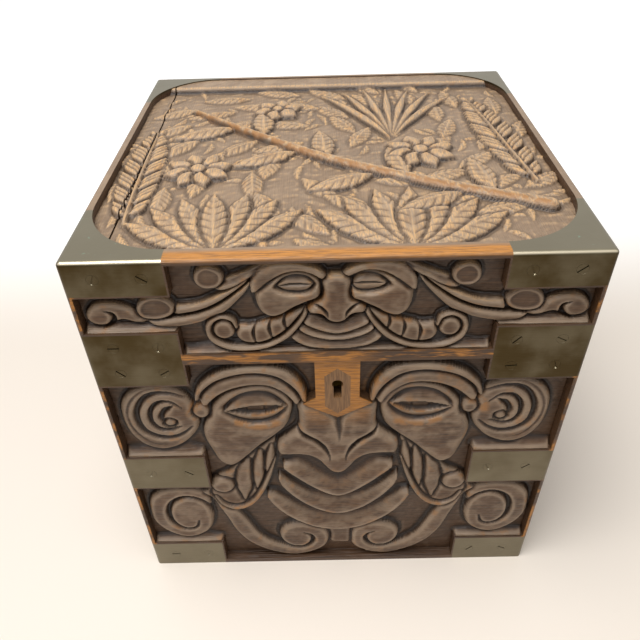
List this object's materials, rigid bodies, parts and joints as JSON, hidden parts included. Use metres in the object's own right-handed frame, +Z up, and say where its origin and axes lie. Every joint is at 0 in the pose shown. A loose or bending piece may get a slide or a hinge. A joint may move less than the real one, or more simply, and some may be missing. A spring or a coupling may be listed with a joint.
{
  "type": "carved wooden box",
  "caption": "Square carved wooden keepsake box with a hinged lid, brass straps let in round its corners, mask and scroll carving and a keyhole lock.",
  "frame": {"origin": "middle of the underside of the box", "axes": "+Z up, -Y out of the front with the keyhole, +X to the right of someone facing the front"},
  "size_m": [0.27, 0.26, 0.27],
  "materials": {
    "stained_wood": "dark stain, worn at the edges",
    "pale_wood": "worn to the bare golden wood",
    "strap_brass": "aged, dull olive patina",
    "hinge_brass": "aged brass",
    "lock_brass": "rubbed brass",
    "lock_steel": "oiled steel",
    "screw_steel": "dark steel"
  },
  "bodies": {
    "case": {"back_panel": "stained_wood", "base_board": "stained_wood", "base_screws": "screw_steel", "case_seam_strap_back_left": "strap_brass", "case_seam_strap_back_right": "strap_brass", "case_seam_strap_front_left": "strap_brass", "case_seam_strap_front_right": "strap_brass", "case_strap_screws": "strap_brass", "foot_strap_back_left": "strap_brass", "foot_strap_back_right": "strap_brass", "foot_strap_front_left": "strap_brass", "foot_strap_front_right": "strap_brass", "front_carving": "stained_wood", "front_panel": "stained_wood", "hinge_case_screws": "hinge_brass", "hinge_left_case_leaf": "hinge_brass", "hinge_left_pin": "hinge_brass", "hinge_right_case_leaf": "hinge_brass", "hinge_right_pin": "hinge_brass", "key_pin": "lock_steel", "keyhole_inlay": "pale_wood", "left_carving": "stained_wood", "left_panel": "stained_wood", "lock_cap": "lock_brass", "lock_plate": "lock_brass", "lock_screws": "lock_brass", "mid_strap_back_left": "strap_brass", "mid_strap_back_right": "strap_brass", "mid_strap_front_left": "strap_brass", "mid_strap_front_right": "strap_brass", "right_carving": "stained_wood", "right_panel": "stained_wood"},
    "lid": {"hinge_left_lid_leaf": "hinge_brass", "hinge_lid_screws": "hinge_brass", "hinge_right_lid_leaf": "hinge_brass", "lid_back": "stained_wood", "lid_bracket_back_left": "strap_brass", "lid_bracket_back_right": "strap_brass", "lid_bracket_front_left": "strap_brass", "lid_bracket_front_right": "strap_brass", "lid_front": "stained_wood", "lid_front_carving": "stained_wood", "lid_left": "stained_wood", "lid_left_carving": "stained_wood", "lid_right": "stained_wood", "lid_right_carving": "stained_wood", "lid_seam_strap_back_left": "strap_brass", "lid_seam_strap_back_right": "strap_brass", "lid_seam_strap_front_left": "strap_brass", "lid_seam_strap_front_right": "strap_brass", "lid_strap_screws": "strap_brass", "lid_top": "stained_wood", "lid_top_carving": "stained_wood", "link_plate": "lock_brass", "link_plate_screws": "lock_brass"},
    "bolt": {"lock_bolt": "lock_steel", "lock_spring": "lock_steel"}
  },
  "joints": [
    {"name": "lid_hinge", "type": "hinge", "parent": "case", "child": "lid", "pos_m": [0, 0.1268, 0.206], "axis": [-1, 0, 0], "range_deg": [0, 95]},
    {"name": "bolt_slide", "type": "slide", "parent": "case", "child": "bolt", "axis": [1, 0, 0], "range_m": [0, 0.006]}
  ]
}
